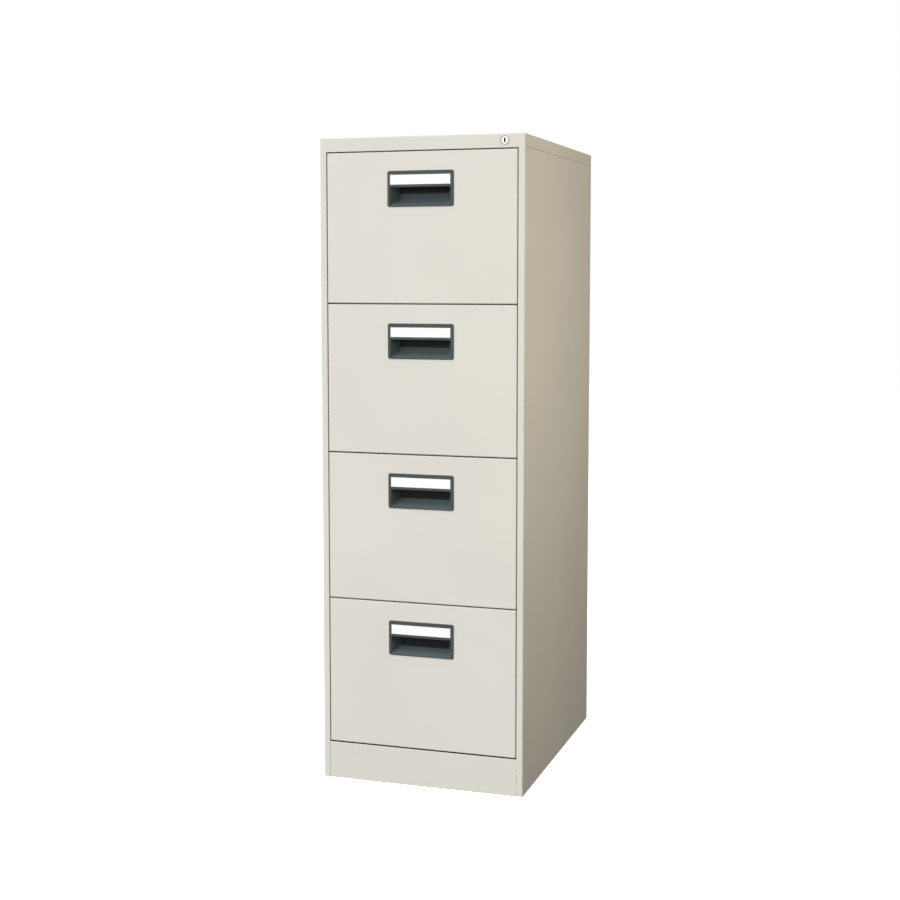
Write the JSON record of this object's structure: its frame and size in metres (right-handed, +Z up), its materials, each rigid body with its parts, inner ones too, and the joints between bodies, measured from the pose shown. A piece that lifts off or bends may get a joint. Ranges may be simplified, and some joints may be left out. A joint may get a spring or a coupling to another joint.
{
  "type": "filing cabinet",
  "caption": "Tall vertical filing cabinet of folded steel with deep drawers on telescopic roller slides, inset moulded handles with card holders, and a lock that bars every drawer.",
  "frame": {"origin": "middle of the footprint on the floor", "axes": "+Z up, +X to the right of someone facing the drawers, the drawers open towards -Y"},
  "size_m": [0.455, 0.62, 1.4],
  "materials": {
    "cabinet_paint": "warm light grey baked enamel, low sheen",
    "front_paint": "warm light grey baked enamel, low sheen",
    "inner_paint": "warm light grey baked enamel",
    "zinc_steel": "zinc plated",
    "handle_plastic": "dark green-grey moulded plastic",
    "card_paper": "blank white card",
    "roller_nylon": "natural nylon",
    "lock_nickel": "bright nickel",
    "foot_steel": "zinc plated"
  },
  "bodies": {
    "root": {"top_cap": "cabinet_paint", "left_side_panel": "cabinet_paint", "right_side_panel": "cabinet_paint", "back_panel": "cabinet_paint", "base_frame": "cabinet_paint", "inner_frame": "zinc_steel", "cabinet_rails": "zinc_steel", "foot_brackets": "zinc_steel", "lock_body": "lock_nickel"},
    "drawer_1": {"drawer_front_1": "front_paint", "front_liner_1": "inner_paint", "drawer_tray_1": "inner_paint", "drawer_handle_1": "handle_plastic", "label_card_1": "card_paper", "drawer_rails_1": "zinc_steel"},
    "cradle_1": {"slide_cradles_1": "zinc_steel"},
    "follower_1": {"file_follower_1": "inner_paint"},
    "front_rollers_1": {"front_rollers_1": "roller_nylon"},
    "middle_rollers_1": {"middle_rollers_1": "roller_nylon"},
    "rear_rollers_1": {"rear_rollers_1": "roller_nylon"},
    "drawer_2": {"drawer_front_2": "front_paint", "front_liner_2": "inner_paint", "drawer_tray_2": "inner_paint", "drawer_handle_2": "handle_plastic", "label_card_2": "card_paper", "drawer_rails_2": "zinc_steel"},
    "cradle_2": {"slide_cradles_2": "zinc_steel"},
    "follower_2": {"file_follower_2": "inner_paint"},
    "front_rollers_2": {"front_rollers_2": "roller_nylon"},
    "middle_rollers_2": {"middle_rollers_2": "roller_nylon"},
    "rear_rollers_2": {"rear_rollers_2": "roller_nylon"},
    "drawer_3": {"drawer_front_3": "front_paint", "front_liner_3": "inner_paint", "drawer_tray_3": "inner_paint", "drawer_handle_3": "handle_plastic", "label_card_3": "card_paper", "drawer_rails_3": "zinc_steel"},
    "cradle_3": {"slide_cradles_3": "zinc_steel"},
    "follower_3": {"file_follower_3": "inner_paint"},
    "front_rollers_3": {"front_rollers_3": "roller_nylon"},
    "middle_rollers_3": {"middle_rollers_3": "roller_nylon"},
    "rear_rollers_3": {"rear_rollers_3": "roller_nylon"},
    "drawer_4": {"drawer_front_4": "front_paint", "front_liner_4": "inner_paint", "drawer_tray_4": "inner_paint", "drawer_handle_4": "handle_plastic", "label_card_4": "card_paper", "drawer_rails_4": "zinc_steel"},
    "cradle_4": {"slide_cradles_4": "zinc_steel"},
    "follower_4": {"file_follower_4": "inner_paint"},
    "front_rollers_4": {"front_rollers_4": "roller_nylon"},
    "middle_rollers_4": {"middle_rollers_4": "roller_nylon"},
    "rear_rollers_4": {"rear_rollers_4": "roller_nylon"},
    "lock_plug": {"lock_plug": "lock_nickel", "lock_cam": "zinc_steel"},
    "lock_bar": {"lock_bar": "zinc_steel"},
    "foot_front_left": {"foot_front_left": "foot_steel"},
    "foot_front_right": {"foot_front_right": "foot_steel"},
    "foot_rear_left": {"foot_rear_left": "foot_steel"},
    "foot_rear_right": {"foot_rear_right": "foot_steel"}
  },
  "joints": [
    {"name": "drawer_1_slide", "type": "slide", "parent": "root", "child": "drawer_1", "axis": [0, -1, 0], "range_m": [0, 0.51]},
    {"name": "cradle_1_slide", "type": "slide", "parent": "root", "child": "cradle_1", "axis": [0, -1, 0], "range_m": [0, 0.255]},
    {"name": "front_rollers_1_roll", "type": "hinge", "parent": "cradle_1", "child": "front_rollers_1", "pos_m": [0, -0.237, 1.119], "axis": [1, 0, 0], "range_deg": [0, 1075]},
    {"name": "middle_rollers_1_roll", "type": "hinge", "parent": "cradle_1", "child": "middle_rollers_1", "pos_m": [0, -0.016, 1.119], "axis": [1, 0, 0], "range_deg": [0, 1075]},
    {"name": "rear_rollers_1_roll", "type": "hinge", "parent": "cradle_1", "child": "rear_rollers_1", "pos_m": [0, 0.205, 1.119], "axis": [1, 0, 0], "range_deg": [0, 1075]},
    {"name": "follower_1_slide", "type": "slide", "parent": "drawer_1", "child": "follower_1", "axis": [0, -1, 0], "range_m": [0, 0.4]},
    {"name": "drawer_2_slide", "type": "slide", "parent": "root", "child": "drawer_2", "axis": [0, -1, 0], "range_m": [0, 0.51]},
    {"name": "cradle_2_slide", "type": "slide", "parent": "root", "child": "cradle_2", "axis": [0, -1, 0], "range_m": [0, 0.255]},
    {"name": "front_rollers_2_roll", "type": "hinge", "parent": "cradle_2", "child": "front_rollers_2", "pos_m": [0, -0.237, 0.797], "axis": [1, 0, 0], "range_deg": [0, 1075]},
    {"name": "middle_rollers_2_roll", "type": "hinge", "parent": "cradle_2", "child": "middle_rollers_2", "pos_m": [0, -0.016, 0.797], "axis": [1, 0, 0], "range_deg": [0, 1075]},
    {"name": "rear_rollers_2_roll", "type": "hinge", "parent": "cradle_2", "child": "rear_rollers_2", "pos_m": [0, 0.205, 0.797], "axis": [1, 0, 0], "range_deg": [0, 1075]},
    {"name": "follower_2_slide", "type": "slide", "parent": "drawer_2", "child": "follower_2", "axis": [0, -1, 0], "range_m": [0, 0.4]},
    {"name": "drawer_3_slide", "type": "slide", "parent": "root", "child": "drawer_3", "axis": [0, -1, 0], "range_m": [0, 0.51]},
    {"name": "cradle_3_slide", "type": "slide", "parent": "root", "child": "cradle_3", "axis": [0, -1, 0], "range_m": [0, 0.255]},
    {"name": "front_rollers_3_roll", "type": "hinge", "parent": "cradle_3", "child": "front_rollers_3", "pos_m": [0, -0.237, 0.475], "axis": [1, 0, 0], "range_deg": [0, 1075]},
    {"name": "middle_rollers_3_roll", "type": "hinge", "parent": "cradle_3", "child": "middle_rollers_3", "pos_m": [0, -0.016, 0.475], "axis": [1, 0, 0], "range_deg": [0, 1075]},
    {"name": "rear_rollers_3_roll", "type": "hinge", "parent": "cradle_3", "child": "rear_rollers_3", "pos_m": [0, 0.205, 0.475], "axis": [1, 0, 0], "range_deg": [0, 1075]},
    {"name": "follower_3_slide", "type": "slide", "parent": "drawer_3", "child": "follower_3", "axis": [0, -1, 0], "range_m": [0, 0.4]},
    {"name": "drawer_4_slide", "type": "slide", "parent": "root", "child": "drawer_4", "axis": [0, -1, 0], "range_m": [0, 0.51]},
    {"name": "cradle_4_slide", "type": "slide", "parent": "root", "child": "cradle_4", "axis": [0, -1, 0], "range_m": [0, 0.255]},
    {"name": "front_rollers_4_roll", "type": "hinge", "parent": "cradle_4", "child": "front_rollers_4", "pos_m": [0, -0.237, 0.153], "axis": [1, 0, 0], "range_deg": [0, 1075]},
    {"name": "middle_rollers_4_roll", "type": "hinge", "parent": "cradle_4", "child": "middle_rollers_4", "pos_m": [0, -0.016, 0.153], "axis": [1, 0, 0], "range_deg": [0, 1075]},
    {"name": "rear_rollers_4_roll", "type": "hinge", "parent": "cradle_4", "child": "rear_rollers_4", "pos_m": [0, 0.205, 0.153], "axis": [1, 0, 0], "range_deg": [0, 1075]},
    {"name": "follower_4_slide", "type": "slide", "parent": "drawer_4", "child": "follower_4", "axis": [0, -1, 0], "range_m": [0, 0.4]},
    {"name": "lock_turn", "type": "hinge", "parent": "root", "child": "lock_plug", "pos_m": [0.1835, -0.3, 1.3865], "axis": [0, 1, 0], "range_deg": [0, 90]},
    {"name": "lock_bar_slide", "type": "slide", "parent": "root", "child": "lock_bar", "axis": [0, 0, 1], "range_m": [0, 0.01131]},
    {"name": "foot_front_left_screw", "type": "slide", "parent": "root", "child": "foot_front_left", "axis": [0, 0, -1], "range_m": [0, 0.012]},
    {"name": "foot_front_right_screw", "type": "slide", "parent": "root", "child": "foot_front_right", "axis": [0, 0, -1], "range_m": [0, 0.012]},
    {"name": "foot_rear_left_screw", "type": "slide", "parent": "root", "child": "foot_rear_left", "axis": [0, 0, -1], "range_m": [0, 0.012]},
    {"name": "foot_rear_right_screw", "type": "slide", "parent": "root", "child": "foot_rear_right", "axis": [0, 0, -1], "range_m": [0, 0.012]}
  ],
  "couplings": [
    {"joint": "cradle_1_slide", "follows": "drawer_1_slide", "ratio": 0.5},
    {"joint": "front_rollers_1_roll", "follows": "drawer_1_slide", "rad_per_m": 36.765},
    {"joint": "middle_rollers_1_roll", "follows": "drawer_1_slide", "rad_per_m": 36.765},
    {"joint": "rear_rollers_1_roll", "follows": "drawer_1_slide", "rad_per_m": 36.765},
    {"joint": "cradle_2_slide", "follows": "drawer_2_slide", "ratio": 0.5},
    {"joint": "front_rollers_2_roll", "follows": "drawer_2_slide", "rad_per_m": 36.765},
    {"joint": "middle_rollers_2_roll", "follows": "drawer_2_slide", "rad_per_m": 36.765},
    {"joint": "rear_rollers_2_roll", "follows": "drawer_2_slide", "rad_per_m": 36.765},
    {"joint": "cradle_3_slide", "follows": "drawer_3_slide", "ratio": 0.5},
    {"joint": "front_rollers_3_roll", "follows": "drawer_3_slide", "rad_per_m": 36.765},
    {"joint": "middle_rollers_3_roll", "follows": "drawer_3_slide", "rad_per_m": 36.765},
    {"joint": "rear_rollers_3_roll", "follows": "drawer_3_slide", "rad_per_m": 36.765},
    {"joint": "cradle_4_slide", "follows": "drawer_4_slide", "ratio": 0.5},
    {"joint": "front_rollers_4_roll", "follows": "drawer_4_slide", "rad_per_m": 36.765},
    {"joint": "middle_rollers_4_roll", "follows": "drawer_4_slide", "rad_per_m": 36.765},
    {"joint": "rear_rollers_4_roll", "follows": "drawer_4_slide", "rad_per_m": 36.765},
    {"joint": "lock_turn", "follows": "lock_bar_slide", "rad_per_m": 138.84}
  ]
}
